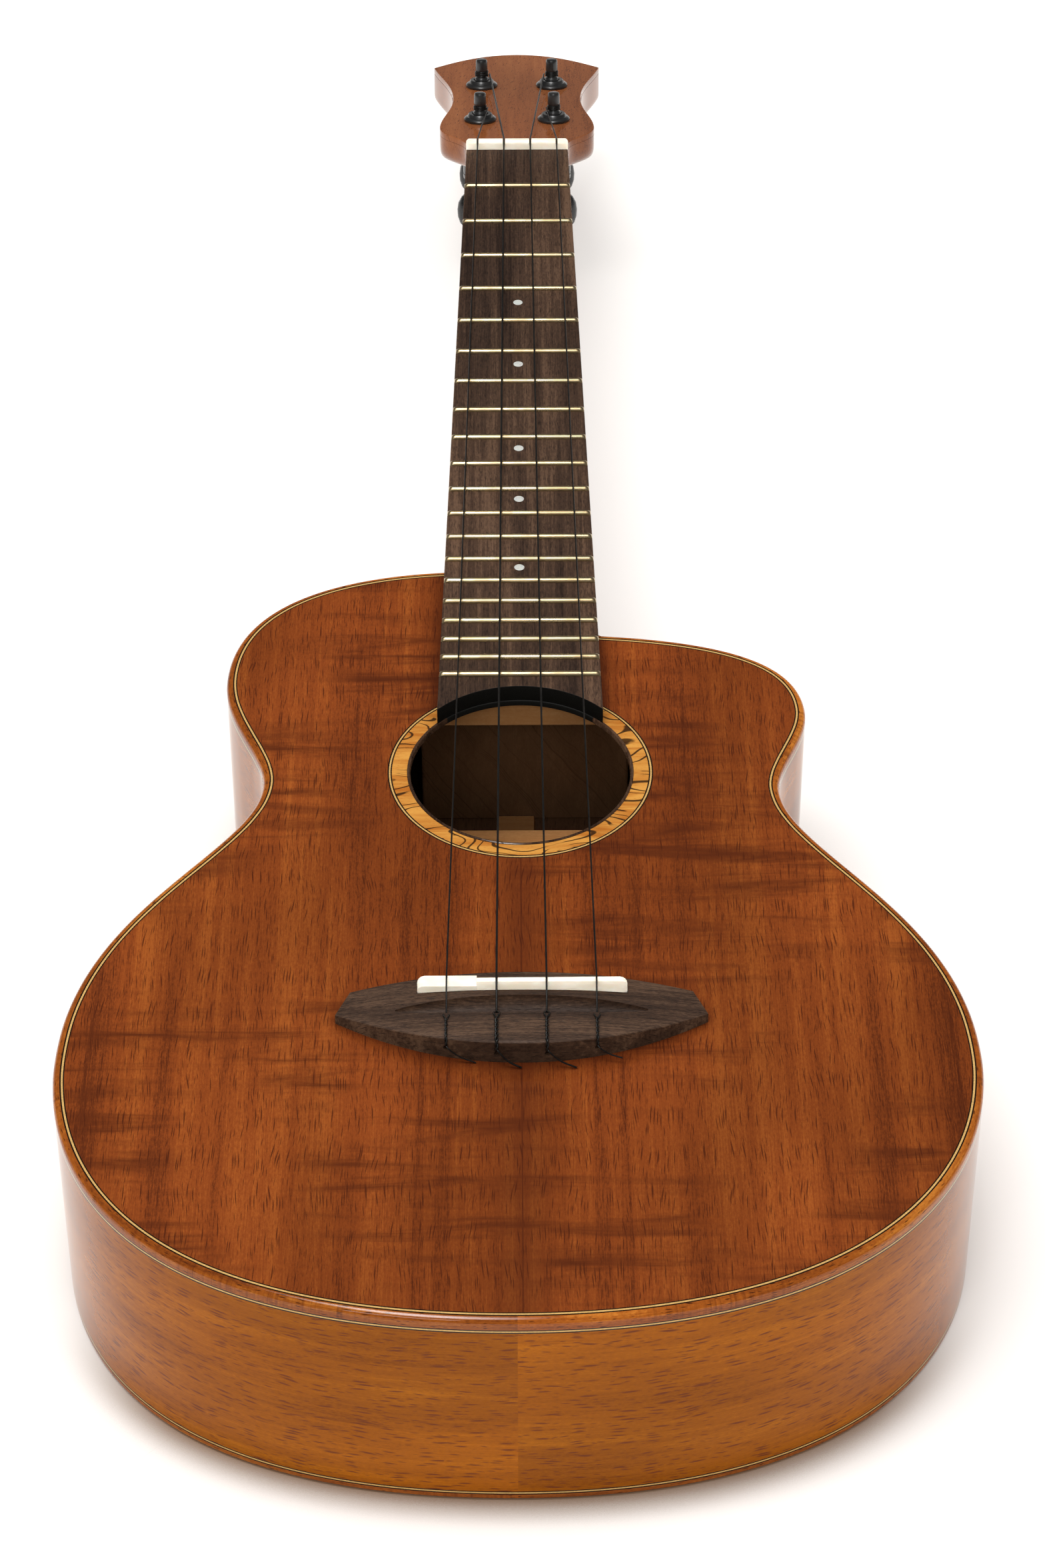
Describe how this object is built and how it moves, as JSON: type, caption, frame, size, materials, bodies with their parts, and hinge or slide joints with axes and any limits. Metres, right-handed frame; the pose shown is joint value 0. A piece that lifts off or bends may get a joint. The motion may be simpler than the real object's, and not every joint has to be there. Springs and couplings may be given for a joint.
{
  "type": "tenor ukulele",
  "caption": "Cutaway tenor ukulele with a hollow wooden body, fretted neck, tied bridge and rear-facing geared tuning pegs.",
  "frame": {"origin": "on the flat outer face of the back, on the centreline, straight below the saddle", "axes": "+X to the treble (cutaway) side, +Y from the saddle to the headstock, +Z from the back out through the soundboard"},
  "size_m": [0.2467, 0.6627, 0.0793],
  "materials": {
    "koa_top": "glossy clear-lacquered reddish brown koa with short dark pores and dark cross figure",
    "koa_back": "glossy clear-lacquered reddish brown koa, two bookmatched halves",
    "koa_side": "glossy golden honey brown koa, grain along the side",
    "koa_binding": "glossy curly wood binding with rounded edge and black, cream and black lines beside it",
    "neck_wood": "glossy reddish brown hardwood",
    "spalted_maple": "golden maple with thin black spalt lines under gloss lacquer",
    "rosewood": "oiled dark brown rosewood with fine grain",
    "rosewood_gloss": "polished dark rosewood edge",
    "inner_softwood": "unfinished pale softwood",
    "inner_mahogany": "unfinished dark mahogany",
    "bone": "polished off-white bone",
    "fret_wire": "polished gold-coloured fret wire",
    "string": "dark grey fluorocarbon string",
    "peg_metal": "satin black",
    "peg_button": "semi-gloss black"
  },
  "bodies": {
    "root": {"soundboard": "koa_top", "back": "koa_back", "binding_top": "koa_binding", "binding_back": "koa_binding", "side_bass": "koa_side", "side_treble": "koa_side", "rosette": "spalted_maple", "soundhole_ring": "rosewood_gloss", "lining_top": "inner_softwood", "lining_back": "inner_softwood", "brace_upper": "inner_softwood", "brace_lower": "inner_softwood", "back_brace": "inner_softwood", "fan_brace_bass": "inner_softwood", "fan_brace_treble": "inner_softwood", "neck_block": "inner_mahogany", "tail_block": "inner_mahogany", "bridge_plate": "inner_mahogany", "neck": "neck_wood", "headplate": "neck_wood", "fretboard": "rosewood", "bridge": "rosewood", "nut": "bone", "saddle": "bone", "fret_01": "fret_wire", "fret_02": "fret_wire", "fret_03": "fret_wire", "fret_04": "fret_wire", "fret_05": "fret_wire", "fret_06": "fret_wire", "fret_07": "fret_wire", "fret_08": "fret_wire", "fret_09": "fret_wire", "fret_10": "fret_wire", "fret_11": "fret_wire", "fret_12": "fret_wire", "fret_13": "fret_wire", "fret_14": "fret_wire", "fret_15": "fret_wire", "fret_16": "fret_wire", "fret_17": "fret_wire", "fret_18": "fret_wire", "fret_19": "fret_wire", "fret_20": "fret_wire", "string_1": "string", "string_2": "string", "string_3": "string", "string_4": "string", "housing_1": "peg_metal", "housing_2": "peg_metal", "housing_3": "peg_metal", "housing_4": "peg_metal"},
    "post_1": {"post_1": "peg_metal"},
    "button_1": {"button_1": "peg_button"},
    "post_2": {"post_2": "peg_metal"},
    "button_2": {"button_2": "peg_button"},
    "post_3": {"post_3": "peg_metal"},
    "button_3": {"button_3": "peg_button"},
    "post_4": {"post_4": "peg_metal"},
    "button_4": {"button_4": "peg_button"}
  },
  "joints": [
    {"name": "peg_button_1", "type": "hinge", "parent": "root", "child": "button_1", "pos_m": [-0.0132, 0.46612, 0.06504], "axis": [0, 0.2419, 0.9703], "continuous": true},
    {"name": "peg_post_1", "type": "hinge", "parent": "root", "child": "post_1", "pos_m": [-0.0132, 0.46612, 0.06504], "axis": [0, 0.2419, 0.9703], "continuous": true},
    {"name": "peg_button_2", "type": "hinge", "parent": "root", "child": "button_2", "pos_m": [-0.0129, 0.50784, 0.05464], "axis": [0, 0.2419, 0.9703], "continuous": true},
    {"name": "peg_post_2", "type": "hinge", "parent": "root", "child": "post_2", "pos_m": [-0.0129, 0.50784, 0.05464], "axis": [0, 0.2419, 0.9703], "continuous": true},
    {"name": "peg_button_3", "type": "hinge", "parent": "root", "child": "button_3", "pos_m": [0.0129, 0.50784, 0.05464], "axis": [0, 0.2419, 0.9703], "continuous": true},
    {"name": "peg_post_3", "type": "hinge", "parent": "root", "child": "post_3", "pos_m": [0.0129, 0.50784, 0.05464], "axis": [0, 0.2419, 0.9703], "continuous": true},
    {"name": "peg_button_4", "type": "hinge", "parent": "root", "child": "button_4", "pos_m": [0.0132, 0.46612, 0.06504], "axis": [0, 0.2419, 0.9703], "continuous": true},
    {"name": "peg_post_4", "type": "hinge", "parent": "root", "child": "post_4", "pos_m": [0.0132, 0.46612, 0.06504], "axis": [0, 0.2419, 0.9703], "continuous": true}
  ],
  "couplings": [
    {"joint": "peg_post_1", "follows": "peg_button_1", "ratio": 0.25},
    {"joint": "peg_post_2", "follows": "peg_button_2", "ratio": 0.25},
    {"joint": "peg_post_3", "follows": "peg_button_3", "ratio": 0.25},
    {"joint": "peg_post_4", "follows": "peg_button_4", "ratio": 0.25}
  ]
}
